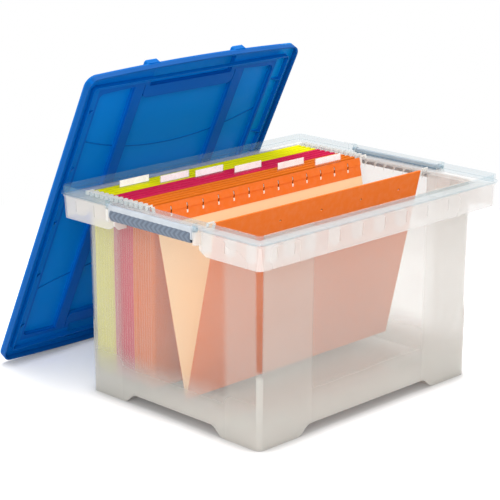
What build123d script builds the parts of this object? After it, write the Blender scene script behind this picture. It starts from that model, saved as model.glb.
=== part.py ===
"""Portable file box: a clear tub with two flip-up handles, a loose lid and hanging folders.

Millimetres, +Z up. X runs along the folders and Y from the front of the tub to its back.
Everything is built about the centre of the tub's footprint at floor level, then moved together
so that the origin is the bottom centre of the whole set, leaning lid included.
"""
import math
import os

from build123d import *

# ---- tub: outside sizes ----
RIM_LENGTH = 443.0  # outside of the rim wall, along X
RIM_WIDTH = 357.0  # outside of the rim wall, along Y
TUB_HEIGHT = 276.0
RIM_CORNER = 8.5  # plan radius of the rim's corners
WALL = 2.2
RIM_WALL_HEIGHT = 8.0  # rim wall above the flange
FLANGE_LIP = 2.5  # flange proud of the rim wall
SHELF_DROP = 3.5  # shelf below the flange and the hanging rail
SHELF_WIDTH = 23.0  # rim's outside to the main wall's outside, at the top
WALL_DRAFT = 2.3  # extra inset of the main wall at the floor
WALL_CORNER = 8.0  # plan radius of the main wall's corners
SKIRT_DEPTH = 34.0  # flange top to the skirt's lower edge
SKIRT_INSET = 0.6  # skirt's top inside the rim's face
SKIRT_DRAFT = 1.4  # extra inset of the skirt's lower edge

# ---- tub: feet and base ----
FOOT_HEIGHT = 12.7
FOOT_LENGTH = 65.0  # of a corner foot along X, at the floor
FOOT_WIDTH = 60.0  # of a corner foot along Y, at the floor
FOOT_CURVE = 26.0  # horizontal run of the S-curve beside a foot

# ---- tub: ribs behind the skirt ----
RIB_THICKNESS = 1.6
RIB_PITCH = 41.0  # evenly spaced ribs on the long sides
LONG_CORNER_RIBS = (61.0, 31.5)  # closer ribs on the long sides, in from the rim's end
SHORT_CORNER_RIB = 26.5  # rib on the short sides, in from the rim's long face
BOSS_RIB_GAP = 35.5  # boss to the rib beside it
RIB_CHAMFER = 7.0
RIB_SHOULDER = 3.5  # height of the sloped shoulder under the shelf
RIB_RISE = 4.0  # rib's lower edge above the skirt's lower edge

# ---- handle zone of the tub ----
HANDLE_LENGTH = 149.0  # over the end arms
BOSS_GAP = 1.0  # arm to boss
BOSS_WIDTH = 6.0
BOSS_HEIGHT = 26.5
BOSS_RISE = 7.0  # boss top above the pivot
BOSS_SHELL = 1.6  # boss material round the pivot bore, outwards
BOSS_ROUND = 2.5
RIM_RAISE = 0.8  # rim is higher over the handle
RIM_RAISE_MARGIN = 9.0  # raised stretch past the boss
SKIRT_END_ROUND = 15.0  # rounded lower corner of the skirt beside the handle
RETURN_DROP = 14.0  # return wall's lower edge below the start of that corner
RETURN_CHAMFER = 6.0
SCOOP_RIB_PITCH = 17.0
SCOOP_RIB_STEPS = 4  # each side of the middle
SCOOP_RIB_REACH = 16.0

# ---- handle ----
PIVOT_OUT = 6.0  # pivot axis outside the rim's face
PIVOT_DROP = 8.0  # pivot axis below the plain rim's top
PIN_RADIUS = 2.5
PIN_CLEARANCE = 0.06
PIN_LENGTH = 5.5
PIN_END_GAP = 0.4
ARM_WIDTH = 2.0
ARM_RADIUS = 3.6
ARM_DROP = 12.0  # arm's lower end below the pivot axis
BAR_THICKNESS = 5.0
BAR_SHIFT = 0.8  # bar plate's middle outside the pivot axis
BAR_RISE = 2.0  # bar's upper edge above the pivot axis
BAR_HEIGHT = 15.0
BAR_ROUND = 2.0
GRIP_THICKNESS = 11.0
GRIP_HEIGHT = 17.0
GRIP_DROP = 1.6  # grip's upper edge below the pivot axis
GRIP_END_GAP = 0.3  # grip to arm

# ---- lid ----
LID_END_OVERHANG = 14.5  # middle of the lid's end past the rim
LID_SIDE_OVERHANG = 7.5  # lid's long edge past the rim
LID_END_BOW = 5.5  # middle of the lid's end past its corners
LID_CORNER = 15.0
LID_DEPTH = 10.0  # over border and skirt
LID_PANEL = 2.2
LID_SKIRT = 2.0
RIDGE_GAP = 3.0  # rim's inside to the lid's inner ridge
RIDGE_THICKNESS = 1.8
RIDGE_SETBACK = 1.0  # ridge's free edge below the skirt's
PLATFORM_INSET = 29.0  # lid's edge to the raised platform
PLATFORM_RISE = 7.0  # platform's outside above the border's
PLATFORM_CORNER = 10.0
BAND_OFFSET = 89.0  # middle of a sunk band across the platform from the lid's middle
BAND_WIDTH = 12.0
BAY_MARGIN = 3.0  # housing's side to the platform beside it
BAY_REACH = 51.5  # lid's end to the platform behind the housing
BAY_ROUND = 6.0
HOUSING_SETBACK = 7.0  # lid's end to the raised housing over the handle
HOUSING_LENGTH = 31.0
HOUSING_ROUND = 4.0
GUSSET_PITCH = 88.0
GUSSET_STEPS = 2
GUSSET_THICKNESS = 2.0
EAR_LAP = 9.0  # ear reaches in past the housing's side
EAR_WIDTH = 22.0
EAR_LENGTH = 14.0
EAR_HEIGHT = 6.5  # ear proud of the border's outside
EAR_ROUND = 3.0
PANEL_ARC_SAG = 30.0  # bow of the shallow arc across the panel
PANEL_ARC_MIDDLE = 94.5  # arc's middle from the lid's middle
PANEL_ARC_WIDTH = 1.6
PANEL_ARC_HEIGHT = 0.7
LID_LEAN = 63.9  # degrees from the floor
LID_OFFSET = -38.3  # lid's middle along X from the tub's
LEAN_GAP = 0.3  # lid to the rim that carries it

# ---- hanging folders ----
PAPER = 0.5
FOLDER_END_GAP = 6.8  # folder's end to the rail's inside
FOLDER_RAIL_RISE = 0.0  # folder's upper edge above the rail
FOLDER_DEPTH = 245.0
FOLDER_MIDDLE_GAP = 0.4  # between the two flaps
FLAP_HEIGHT = 25.0
FLAP_SLOPE = 1.5
ROD_THICKNESS = 0.8
ROD_HEIGHT = 8.0
ROD_CLEARANCE = 0.2
HOOK_SEAT_GAP = 0.3  # hook notch above the rail
HOOK_PLAY = 2.0  # notch past the rail on each side
HOOK_TIP = 4.0
HOOK_BRIDGE = 2.2  # depth of the hook over its notch
HOOK_SHOULDER = 2.0  # width of the hook beside its notch
HOOK_TIP_GAP = 0.6  # hook tip above the shelf
FOLDER_PITCH = 9.25
BACK_SPACE = 5.5  # rearmost folder's middle to the back wall's inside
FOLDER_COLOURS = ("yellow",) * 4 + ("red",) * 4 + ("orange",) * 4
TAB_FOLDERS = (1, 3, 4, 6, 9, 11)  # folders that carry a tab, from the back
TAB_WIDTH = 51.5
TAB_PITCH = 53.6
TAB_RISE = 10.5  # above the folder's upper edge
TAB_TONGUE = 9.0
TAB_WALL = 0.45
TAB_SLOT = 0.5
LABEL_THICKNESS = 0.3
LABEL_MARGIN = 1.0

# ---- open folder in front ----
OPEN_BACK_GAP = 9.5  # open folder's rear rod to the foremost shut folder
OPEN_SPREAD = 110.0  # between the open folder's two rods
FOLD_GAP = 0.4  # each half to the fold line
SLOT_PITCH = 27.3
SLOT_STEPS = 6
SLOT_WIDTH = 1.6
SLOT_HEIGHT = 12.5
SLOT_EYE = 1.9
SLOT_DROP = 4.5  # slot below the folder's upper edge
DOT_PITCH = 75.0
DOT_COUNT = 5
DOT_RADIUS = 1.2
DOT_DROP = 21.0  # hole below the folder's upper edge

# ---- levels and places that follow from the sizes ----
FLANGE_TOP = TUB_HEIGHT - RIM_WALL_HEIGHT
SHELF_TOP = FLANGE_TOP - SHELF_DROP
SHELF_BOTTOM = SHELF_TOP - WALL
RAIL_TOP = FLANGE_TOP
SKIRT_BOTTOM = FLANGE_TOP - SKIRT_DEPTH
HALF_LENGTH = RIM_LENGTH / 2
HALF_WIDTH = RIM_WIDTH / 2
RAIL_INSIDE_X = HALF_LENGTH - SHELF_WIDTH - WALL
BACK_INSIDE_Y = HALF_WIDTH - SHELF_WIDTH - WALL
PIVOT_X = HALF_LENGTH + PIVOT_OUT
PIVOT_Z = TUB_HEIGHT - PIVOT_DROP
BOSS_INNER = HANDLE_LENGTH / 2 + BOSS_GAP
BOSS_OUTER = BOSS_INNER + BOSS_WIDTH
BOSS_OUT = PIVOT_OUT + PIN_RADIUS + PIN_CLEARANCE + BOSS_SHELL
FOLDER_TOP = RAIL_TOP + FOLDER_RAIL_RISE
FOLDER_BOTTOM = FOLDER_TOP - FOLDER_DEPTH
ROD_TOP = FOLDER_TOP - PAPER - ROD_CLEARANCE
POCKET_DEPTH = ROD_THICKNESS + 2 * ROD_CLEARANCE
FLAP_DEPTH = 2 * PAPER + POCKET_DEPTH  # sheet, rod's pocket and flap
FOLDER_THICKNESS = 2 * FLAP_DEPTH + FOLDER_MIDDLE_GAP
FOLDER_LENGTH = 2 * (RAIL_INSIDE_X - FOLDER_END_GAP)
FIRST_FOLDER_Y = BACK_INSIDE_Y - BACK_SPACE
OPEN_REAR_Y = FIRST_FOLDER_Y - (len(FOLDER_COLOURS) - 1) * FOLDER_PITCH - OPEN_BACK_GAP
OPEN_FRONT_Y = OPEN_REAR_Y - OPEN_SPREAD
OPEN_FOLD_Y = (OPEN_REAR_Y + OPEN_FRONT_Y) / 2
LID_LENGTH = RIM_LENGTH + 2 * LID_END_OVERHANG
LID_WIDTH = RIM_WIDTH + 2 * LID_SIDE_OVERHANG
HOUSING_HALF_WIDTH = HANDLE_LENGTH / 2
LEAN = math.radians(LID_LEAN)
LID_FOOT_Y = HALF_WIDTH + TUB_HEIGHT / math.tan(LEAN) + LEAN_GAP / math.sin(LEAN)
SIDES = {"left": -1, "right": 1}
MARGIN = 1.0  # overlap of a cutting tool past the face it cuts


def prism(face: Sketch, start: float, stop: float) -> Part:
    """Extrude a sketch drawn on the XY plane from one height to another."""
    return extrude(Pos(0, 0, start) * face, amount=stop - start)


def ring_loft(z_low: float, inset_low: float, z_high: float, inset_high: float, corner: float) -> Part:
    """Loft between two rounded rectangles inset from the rim's outside."""
    low = RectangleRounded(RIM_LENGTH - 2 * inset_low, RIM_WIDTH - 2 * inset_low, corner)
    high = RectangleRounded(RIM_LENGTH - 2 * inset_high, RIM_WIDTH - 2 * inset_high, corner)
    return loft([Pos(0, 0, z_low) * low, Pos(0, 0, z_high) * high], ruled=True)


def closed_face(points: list) -> Sketch:
    """Flat face inside a closed outline of two-number points."""
    return make_face(Polyline(*points, close=True))


def across_x(face: Sketch, thickness: float, y: float) -> Part:
    """A plate centred on y from a face drawn in (x, z)."""
    return extrude(Plane.XZ * Pos(0, 0, -y) * face, amount=thickness / 2, both=True)


def across_y(face: Sketch, thickness: float, x: float) -> Part:
    """A plate centred on x from a face drawn in (y, z)."""
    return extrude(Plane.YZ * Pos(0, 0, x) * face, amount=thickness / 2, both=True)


# ---------------------------------------------------------------- tub
def arch(foot_span: float, height: float, length: float) -> Part:
    """The raised passage under the base, along Y, between feet foot_span apart at the floor."""
    half = foot_span / 2
    half_top = half - FOOT_CURVE
    edges = [
        Spline((-half, 0), (-half_top, height), tangents=[(1, 0), (1, 0)]),
        Line((-half_top, height), (half_top, height)),
        Spline((half_top, height), (half, 0), tangents=[(1, 0), (1, 0)]),
        Line((half, 0), (half, -MARGIN)),
        Line((half, -MARGIN), (-half, -MARGIN)),
        Line((-half, -MARGIN), (-half, 0)),
    ]
    return across_x(make_face(edges), length, 0)


def arches(extra: float) -> Part:
    """Both passages under the base, grown by extra on every side."""
    floor_inset = SHELF_WIDTH + WALL_DRAFT
    span_x = RIM_LENGTH - 2 * (floor_inset + FOOT_LENGTH) + 2 * extra
    span_y = RIM_WIDTH - 2 * (floor_inset + FOOT_WIDTH) + 2 * extra
    along_y = arch(span_x, FOOT_HEIGHT + extra, RIM_WIDTH)
    along_x = Rot(0, 0, 90) * arch(span_y, FOOT_HEIGHT + extra, RIM_LENGTH)
    return along_y + along_x


def main_wall() -> Part:
    """Drafted wall, base and hollow corner feet, up to the hanging rail."""
    floor_inset = SHELF_WIDTH + WALL_DRAFT
    outside = ring_loft(0, floor_inset, RAIL_TOP, SHELF_WIDTH, WALL_CORNER)
    inside = ring_loft(WALL, floor_inset + WALL, RAIL_TOP, SHELF_WIDTH + WALL, WALL_CORNER - WALL)
    mouth = RectangleRounded(
        RIM_LENGTH - 2 * (SHELF_WIDTH + WALL), RIM_WIDTH - 2 * (SHELF_WIDTH + WALL), WALL_CORNER - WALL
    )
    cavity = inside - arches(WALL) + prism(mouth, RAIL_TOP, RAIL_TOP + MARGIN)
    return outside - arches(0) - cavity


def rim_wall() -> Part:
    """Upright rim, from the shelf to the top, higher over each handle."""
    outer = RectangleRounded(RIM_LENGTH, RIM_WIDTH, RIM_CORNER)
    inner = RectangleRounded(RIM_LENGTH - 2 * WALL, RIM_WIDTH - 2 * WALL, RIM_CORNER - WALL)
    rim = prism(outer - inner, SHELF_BOTTOM, TUB_HEIGHT)
    raised = 2 * (BOSS_OUTER + RIM_RAISE_MARGIN)
    for side in SIDES.values():
        x = side * (HALF_LENGTH - WALL / 2)
        rim += Pos(x, 0, TUB_HEIGHT + RIM_RAISE / 2) * Box(WALL, raised, RIM_RAISE)
    return rim


def shelf() -> Part:
    """Level plate between the rim wall and the main wall."""
    outer = RectangleRounded(RIM_LENGTH - WALL, RIM_WIDTH - WALL, RIM_CORNER - WALL / 2)
    opening = 2 * (SHELF_WIDTH + WALL / 2)
    inner = RectangleRounded(RIM_LENGTH - opening, RIM_WIDTH - opening, WALL_CORNER - WALL / 2)
    return prism(outer - inner, SHELF_BOTTOM, SHELF_TOP)


def flange() -> Part:
    """Thin lip round the rim that the lid's skirt stands on, open over the handles."""
    outer = RectangleRounded(
        RIM_LENGTH + 2 * FLANGE_LIP, RIM_WIDTH + 2 * FLANGE_LIP, RIM_CORNER + FLANGE_LIP
    )
    inner = RectangleRounded(RIM_LENGTH - WALL, RIM_WIDTH - WALL, RIM_CORNER - WALL / 2)
    lip = prism(outer - inner, FLANGE_TOP - WALL, FLANGE_TOP)
    for side in SIDES.values():
        depth = FLANGE_LIP + MARGIN
        gap = Box(depth, 2 * BOSS_INNER, 2 * RIM_WALL_HEIGHT)
        lip -= Pos(side * (HALF_LENGTH + depth / 2), 0, FLANGE_TOP) * gap
    return lip


def skirt_cut() -> Part:
    """What is taken from the skirt over both handles: narrow above, flared by two round corners."""
    half = BOSS_INNER
    flare = half + SKIRT_END_ROUND
    knee = SKIRT_BOTTOM + SKIRT_END_ROUND
    low = SKIRT_BOTTOM - MARGIN
    edges = [
        Line((half, FLANGE_TOP), (half, knee)),
        RadiusArc((half, knee), (flare, SKIRT_BOTTOM), -SKIRT_END_ROUND),
        Line((flare, SKIRT_BOTTOM), (flare, low)),
        Line((flare, low), (-flare, low)),
        Line((-flare, low), (-flare, SKIRT_BOTTOM)),
        RadiusArc((-flare, SKIRT_BOTTOM), (-half, knee), -SKIRT_END_ROUND),
        Line((-half, knee), (-half, FLANGE_TOP)),
        Line((-half, FLANGE_TOP), (half, FLANGE_TOP)),
    ]
    return across_y(make_face(edges), RIM_LENGTH + 2 * FLANGE_LIP, 0)


def skirt() -> Part:
    """Drafted skirt hanging from the rim, cut away over the handles."""
    low_inset = SKIRT_INSET + SKIRT_DRAFT
    top = FLANGE_TOP - WALL
    outside = ring_loft(SKIRT_BOTTOM, low_inset, top, SKIRT_INSET, RIM_CORNER)
    inside = ring_loft(SKIRT_BOTTOM, low_inset + WALL, top, SKIRT_INSET + WALL, RIM_CORNER - WALL)
    return outside - inside - skirt_cut()


def rib_points(wall: float) -> list:
    """Outline of a rib between the main wall and the skirt, as (distance from the middle, z)."""
    inner = wall - SHELF_WIDTH - WALL / 2
    outer = wall - SKIRT_INSET - SKIRT_DRAFT - WALL / 2
    low = SKIRT_BOTTOM + RIB_RISE
    return [
        (inner, SHELF_BOTTOM + WALL / 2),
        (outer - RIB_CHAMFER, SHELF_BOTTOM + WALL / 2),
        (outer, SHELF_BOTTOM - RIB_SHOULDER),
        (outer, low + RIB_CHAMFER),
        (outer - RIB_CHAMFER, low),
        (inner, low),
    ]


def skirt_ribs() -> Part:
    """Upright ribs between the main wall and the skirt, on all four sides."""
    long_ends = [HALF_LENGTH - inset for inset in LONG_CORNER_RIBS]
    steps = int(min(long_ends) / RIB_PITCH)
    evenly = [step * RIB_PITCH for step in range(-steps, steps + 1)]
    long_places = evenly + [sign * place for place in long_ends for sign in (-1, 1)]
    short_ends = [BOSS_OUTER + BOSS_RIB_GAP, HALF_WIDTH - SHORT_CORNER_RIB]
    short_places = [sign * place for place in short_ends for sign in (-1, 1)]
    plates = []
    for side in (-1, 1):
        along_y = [(side * y, z) for y, z in rib_points(HALF_WIDTH)]
        along_x = [(side * x, z) for x, z in rib_points(HALF_LENGTH)]
        plates += [across_y(closed_face(along_y), RIB_THICKNESS, x) for x in long_places]
        plates += [across_x(closed_face(along_x), RIB_THICKNESS, y) for y in short_places]
    return Part() + plates


def return_wall_points() -> list:
    """Outline of the wall that closes the skirt's end beside a handle, as (x, z)."""
    inner = HALF_LENGTH - SHELF_WIDTH - WALL / 2
    outer = HALF_LENGTH - SKIRT_INSET - WALL / 2
    knee = SKIRT_BOTTOM + SKIRT_END_ROUND
    return [
        (inner, SHELF_BOTTOM + WALL / 2),
        (outer, SHELF_BOTTOM + WALL / 2),
        (outer, knee - RETURN_DROP + RETURN_CHAMFER),
        (outer - RETURN_CHAMFER, knee - RETURN_DROP),
        (inner, knee - RETURN_DROP),
    ]


def scoop_rib(side: int, y: float) -> Part:
    """Concave gusset under the shelf, behind the handle."""
    wall = HALF_LENGTH - SHELF_WIDTH - WALL / 2
    tip = wall + SCOOP_RIB_REACH
    roof = SHELF_BOTTOM + WALL / 2
    low = roof - SCOOP_RIB_REACH
    edges = [
        Line((side * wall, low), (side * wall, roof)),
        Line((side * wall, roof), (side * tip, roof)),
        RadiusArc((side * tip, roof), (side * wall, low), -side * SCOOP_RIB_REACH),
    ]
    return across_x(make_face(edges), RIB_THICKNESS, y)


def pivot_boss(side: int, end: int) -> Part:
    """Upright boss at one end of a handle."""
    depth = BOSS_OUT + SKIRT_INSET + WALL
    x = side * (HALF_LENGTH + BOSS_OUT - depth / 2)
    z = PIVOT_Z + BOSS_RISE - BOSS_HEIGHT / 2
    body = Box(depth, BOSS_WIDTH, BOSS_HEIGHT)
    outer_face = body.faces().sort_by(Axis.X)[-1 if side > 0 else 0]
    body = fillet(outer_face.edges(), BOSS_ROUND)
    return Pos(x, end * (BOSS_INNER + BOSS_WIDTH / 2), z) * body


def pin_bore(side: int, end: int) -> Part:
    """Blind bore in a boss that the handle's pin turns in, open towards the handle."""
    length = PIN_LENGTH - BOSS_GAP + PIN_END_GAP + MARGIN
    y = end * (BOSS_INNER - MARGIN + length / 2)
    return Pos(side * PIVOT_X, y, PIVOT_Z) * Rot(90, 0, 0) * Cylinder(PIN_RADIUS + PIN_CLEARANCE, length)


def handle_zone() -> Part:
    """Return walls and scoop ribs behind each handle."""
    pieces = []
    for side in SIDES.values():
        wall_points = [(side * x, z) for x, z in return_wall_points()]
        for end in (-1, 1):
            pieces.append(across_x(closed_face(wall_points), WALL, end * (BOSS_INNER + WALL / 2)))
        for step in range(-SCOOP_RIB_STEPS, SCOOP_RIB_STEPS + 1):
            pieces.append(scoop_rib(side, step * SCOOP_RIB_PITCH))
    return Part() + pieces


def tub() -> Part:
    """The tub, one moulding."""
    body = main_wall() + rim_wall() + shelf() + flange() + skirt() + skirt_ribs() + handle_zone()
    for side in SIDES.values():
        for end in (-1, 1):
            body += pivot_boss(side, end)
            body -= pin_bore(side, end)
    return body


# ---------------------------------------------------------------- handles
def handle_bar(side: int) -> Part:
    """Rigid bar with two end arms and the pins that turn in the tub's bosses."""
    plate_x = side * (PIVOT_X + BAR_SHIFT)
    plate_z = PIVOT_Z + BAR_RISE - BAR_HEIGHT / 2
    bar = Box(BAR_THICKNESS, HANDLE_LENGTH, BAR_HEIGHT)
    bar = fillet(bar.edges().filter_by(Axis.Y).group_by(Axis.Z)[-1], BAR_ROUND)
    bar = Pos(plate_x, 0, plate_z) * bar
    arm_y = HANDLE_LENGTH / 2 - ARM_WIDTH / 2
    for end in (-1, 1):
        arm = Pos(side * PIVOT_X, end * arm_y, PIVOT_Z - ARM_DROP / 2)
        bar += arm * Box(2 * ARM_RADIUS, ARM_WIDTH, ARM_DROP)
        bar += Pos(side * PIVOT_X, end * arm_y, PIVOT_Z) * Rot(90, 0, 0) * Cylinder(ARM_RADIUS, ARM_WIDTH)
        pin_y = end * (HANDLE_LENGTH / 2 + PIN_LENGTH / 2)
        bar += Pos(side * PIVOT_X, pin_y, PIVOT_Z) * Rot(90, 0, 0) * Cylinder(PIN_RADIUS, PIN_LENGTH)
    return bar


def handle_grip(side: int) -> Part:
    """Soft oval sleeve moulded round the lower part of the bar."""
    length = HANDLE_LENGTH - 2 * (ARM_WIDTH + GRIP_END_GAP)
    oval = Rot(90, 0, 0) * Ellipse(GRIP_THICKNESS / 2, GRIP_HEIGHT / 2)
    sleeve = extrude(oval, amount=length / 2, dir=(0, 1, 0), both=True)
    sleeve = Pos(side * PIVOT_X, 0, PIVOT_Z - GRIP_DROP - GRIP_HEIGHT / 2) * sleeve
    return sleeve - handle_bar(side)


# ---------------------------------------------------------------- lid
def lid_frame() -> Location:
    """Where the lid stands: its own X is the width, Y runs up its length, Z into the skirt's side."""
    plane = Plane(
        origin=(
            LID_OFFSET,
            LID_FOOT_Y + LID_DEPTH * math.sin(LEAN),
            LID_DEPTH * math.cos(LEAN),
        ),
        x_dir=(-1, 0, 0),
        z_dir=(0, -math.sin(LEAN), -math.cos(LEAN)),
    )
    return plane.location * Pos(0, -LID_LENGTH / 2, 0) * Rot(0, 0, 180)


def lid_plan(inset: float, corner: float) -> Sketch:
    """The lid's plan, inset from its edge: a rounded rectangle whose two ends are bowed out."""
    half = LID_WIDTH / 2 - inset
    middle = LID_LENGTH / 2 - inset
    shoulder = middle - LID_END_BOW
    edges = [
        ThreePointArc((half, shoulder), (0, middle), (-half, shoulder)),
        Line((-half, shoulder), (-half, -shoulder)),
        ThreePointArc((-half, -shoulder), (0, -middle), (half, -shoulder)),
        Line((half, -shoulder), (half, shoulder)),
    ]
    face = make_face(edges)
    return fillet(face.vertices(), corner)


def platform_plan(inset: float) -> Sketch:
    """The raised platform's plan, inset from its side walls: three sections, with a bay at each end."""
    plan = lid_plan(PLATFORM_INSET + inset, PLATFORM_CORNER - inset)
    for side in (-1, 1):
        plan -= Pos(side * BAND_OFFSET, 0, 0) * Rectangle(BAND_WIDTH + 2 * inset, LID_LENGTH)
    bay_width = 2 * (HOUSING_HALF_WIDTH + BAY_MARGIN + inset)
    bay = RectangleRounded(bay_width, 2 * (BAY_REACH + inset), BAY_ROUND + inset)
    for end in (-1, 1):
        plan -= Pos(0, end * LID_LENGTH / 2, 0) * bay
    return plan


def housing_plan(end: int, inset: float) -> Sketch:
    """Plan of the raised housing over one handle, inset from its side walls."""
    width = 2 * (HOUSING_HALF_WIDTH - inset)
    plan = RectangleRounded(width, HOUSING_LENGTH - 2 * inset, HOUSING_ROUND - inset)
    return Pos(0, end * (LID_LENGTH / 2 - HOUSING_SETBACK - HOUSING_LENGTH / 2), 0) * plan


def ridge() -> Part:
    """Upright ridge that stands just inside the tub's rim."""
    outset = WALL + RIDGE_GAP
    inset = outset + RIDGE_THICKNESS
    corner = RIM_CORNER - WALL
    outer = RectangleRounded(RIM_WIDTH - 2 * outset, RIM_LENGTH - 2 * outset, corner)
    inner = RectangleRounded(RIM_WIDTH - 2 * inset, RIM_LENGTH - 2 * inset, corner - RIDGE_THICKNESS)
    return prism(outer - inner, LID_PANEL / 2, LID_DEPTH - RIDGE_SETBACK)


def gussets() -> Part:
    """Low gussets from the ridge to the platform's side, along both long edges."""
    foot = LID_WIDTH / 2 - PLATFORM_INSET - LID_PANEL / 2
    top = RIM_WIDTH / 2 - WALL - RIDGE_GAP - RIDGE_THICKNESS / 2
    plates = []
    for side in (-1, 1):
        outline = [
            (side * foot, LID_PANEL / 2),
            (side * top, LID_DEPTH - RIDGE_SETBACK),
            (side * top, LID_PANEL / 2),
        ]
        for step in range(-GUSSET_STEPS, GUSSET_STEPS + 1):
            plates.append(across_x(closed_face(outline), GUSSET_THICKNESS, step * GUSSET_PITCH))
    return Part() + plates


def panel_arc(end: int) -> Part:
    """Low curved bead across the platform's inside, bowed towards the lid's middle."""
    half = LID_WIDTH / 2 - PLATFORM_INSET
    radius = (half**2 + PANEL_ARC_SAG**2) / (2 * PANEL_ARC_SAG)
    centre_y = end * (PANEL_ARC_MIDDLE + radius)
    ring = Circle(radius) - Circle(radius - PANEL_ARC_WIDTH)
    strip_y = end * (PANEL_ARC_MIDDLE + PANEL_ARC_SAG / 2)
    window = Pos(0, strip_y, 0) * Rectangle(2 * half, PANEL_ARC_SAG + 2 * PANEL_ARC_WIDTH)
    bead = (Pos(0, centre_y, 0) * ring) & window & platform_plan(LID_PANEL / 2)
    floor = LID_PANEL - PLATFORM_RISE
    return prism(bead, floor - LID_PANEL / 2, floor + PANEL_ARC_HEIGHT)


def lid_ears() -> Part:
    """Four low blocks at the ends of the lid's outside, each lapping one side of a housing."""
    depth = EAR_HEIGHT + LID_PANEL / 2
    x = HOUSING_HALF_WIDTH - EAR_LAP + EAR_WIDTH / 2
    y = LID_LENGTH / 2 - EAR_LENGTH / 2
    pieces = []
    for end in (-1, 1):
        for side in (-1, 1):
            block = Box(EAR_WIDTH, EAR_LENGTH, depth)
            block = fillet(block.edges().filter_by(Axis.Z), EAR_ROUND)
            pieces.append(Pos(side * x, end * y, LID_PANEL / 2 - depth / 2) * block)
    return Part() + pieces


def lid() -> Part:
    """The lid, one moulding, standing on its end against the back of the tub."""
    plan = lid_plan(0, LID_CORNER)
    body = prism(plan, 0, LID_PANEL) + prism(plan - lid_plan(LID_SKIRT, LID_CORNER - LID_SKIRT), 0, LID_DEPTH)
    body += ridge() + gussets() + lid_ears()
    outside = platform_plan(0) + housing_plan(1, 0) + housing_plan(-1, 0)
    inside = platform_plan(LID_PANEL) + housing_plan(1, LID_PANEL) + housing_plan(-1, LID_PANEL)
    body += prism(outside, -PLATFORM_RISE, LID_PANEL)
    body -= prism(inside, LID_PANEL - PLATFORM_RISE, LID_PANEL + MARGIN)
    return lid_frame() * (body + panel_arc(1) + panel_arc(-1))


# ---------------------------------------------------------------- folders
def half_folder(outer: float) -> Part:
    """One hanging half of a folder, standing at the fold line: its outer face at y = outer.

    The paper turns inwards over the rod and comes down as a flap, and its bottom is at z = 0.
    """
    top = FOLDER_DEPTH
    rod_side = outer - PAPER
    pocket_inner = rod_side - POCKET_DEPTH
    pocket_low = top - PAPER - 2 * ROD_CLEARANCE - ROD_HEIGHT
    flap_inner = outer - 2 * PAPER
    flap_low = top - FLAP_HEIGHT
    points = [
        (outer, FOLD_GAP),
        (outer, top),
        (pocket_inner - PAPER, top),
        (pocket_inner - PAPER, pocket_low - FLAP_SLOPE / 2),
        (flap_inner, pocket_low - 2 * FLAP_SLOPE),
        (flap_inner, flap_low),
        (rod_side, flap_low),
        (rod_side, FOLD_GAP),
    ]
    pocket = [
        (rod_side, top - PAPER),
        (pocket_inner, top - PAPER),
        (pocket_inner, pocket_low),
        (rod_side, pocket_low),
    ]
    sheet = across_y(closed_face(points), FOLDER_LENGTH, 0)
    return sheet - across_y(closed_face(pocket), FOLDER_LENGTH + MARGIN, 0)


def rod(y: float, z_top: float) -> Part:
    """Flat hanging rod, its upper edge at z_top, with a raised and notched hook at each end."""
    notch_inner = RAIL_INSIDE_X - HOOK_PLAY
    notch_outer = RAIL_INSIDE_X + WALL + HOOK_PLAY
    tip = notch_outer + HOOK_TIP
    notch_roof = RAIL_TOP + HOOK_SEAT_GAP - ROD_TOP
    tip_low = SHELF_TOP + HOOK_TIP_GAP - ROD_TOP
    shoulder = notch_inner - HOOK_SHOULDER
    hook_top = notch_roof + HOOK_BRIDGE
    half = [
        (shoulder, 0),
        (shoulder, hook_top),
        (tip, hook_top),
        (tip, tip_low),
        (notch_outer, tip_low),
        (notch_outer, notch_roof),
        (notch_inner, notch_roof),
        (notch_inner, -ROD_HEIGHT),
    ]
    mirrored = [(-x, z) for x, z in reversed(half)]
    return Pos(0, 0, z_top) * across_x(closed_face(half + mirrored), ROD_THICKNESS, y)


def rod_middle(outer: float) -> float:
    """Middle of the rod's thickness inside a half folder whose outer face is at outer."""
    return outer - PAPER - POCKET_DEPTH / 2


def closed_folder(y: float) -> Part:
    """A shut folder: two halves back to back over a folded bottom."""
    outer = FOLDER_THICKNESS / 2
    half = half_folder(outer)
    bottom = Pos(0, 0, FOLD_GAP) * Box(FOLDER_LENGTH, FOLDER_THICKNESS, 2 * FOLD_GAP)
    return Pos(0, y, FOLDER_BOTTOM) * (half + mirror(half, about=Plane.XZ) + bottom)


def closed_rods(y: float) -> Part:
    """Both rods of a shut folder."""
    middle = rod_middle(FOLDER_THICKNESS / 2)
    return Part() + [rod(y + middle, ROD_TOP), rod(y - middle, ROD_TOP)]


def tab_x(order: int) -> float:
    """Middle of a tab along X; the tabs step from left to right, front to back."""
    middle = (len(TAB_FOLDERS) - 1) / 2
    return (order - middle) * TAB_PITCH


def tab(x: float, face_y: float) -> Part:
    """Clear tab holder on a folder's front face: a tongue below and a label sleeve above."""
    depth = 2 * TAB_WALL + TAB_SLOT
    height = TAB_RISE + TAB_TONGUE
    back_z = FOLDER_TOP + TAB_RISE - height / 2
    back = Pos(x, face_y - TAB_WALL / 2, back_z) * Box(TAB_WIDTH, TAB_WALL, height)
    sleeve_height = TAB_RISE - LABEL_MARGIN
    sleeve_z = FOLDER_TOP + TAB_RISE - sleeve_height / 2
    sleeve = Pos(x, face_y - depth / 2, sleeve_z) * Box(TAB_WIDTH, depth, sleeve_height)
    slot_height = sleeve_height - TAB_WALL
    slot_z = sleeve_z - TAB_WALL / 2
    slot = Pos(x, face_y - depth / 2, slot_z) * Box(TAB_WIDTH + MARGIN, TAB_SLOT, slot_height)
    return back + sleeve - slot


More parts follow.
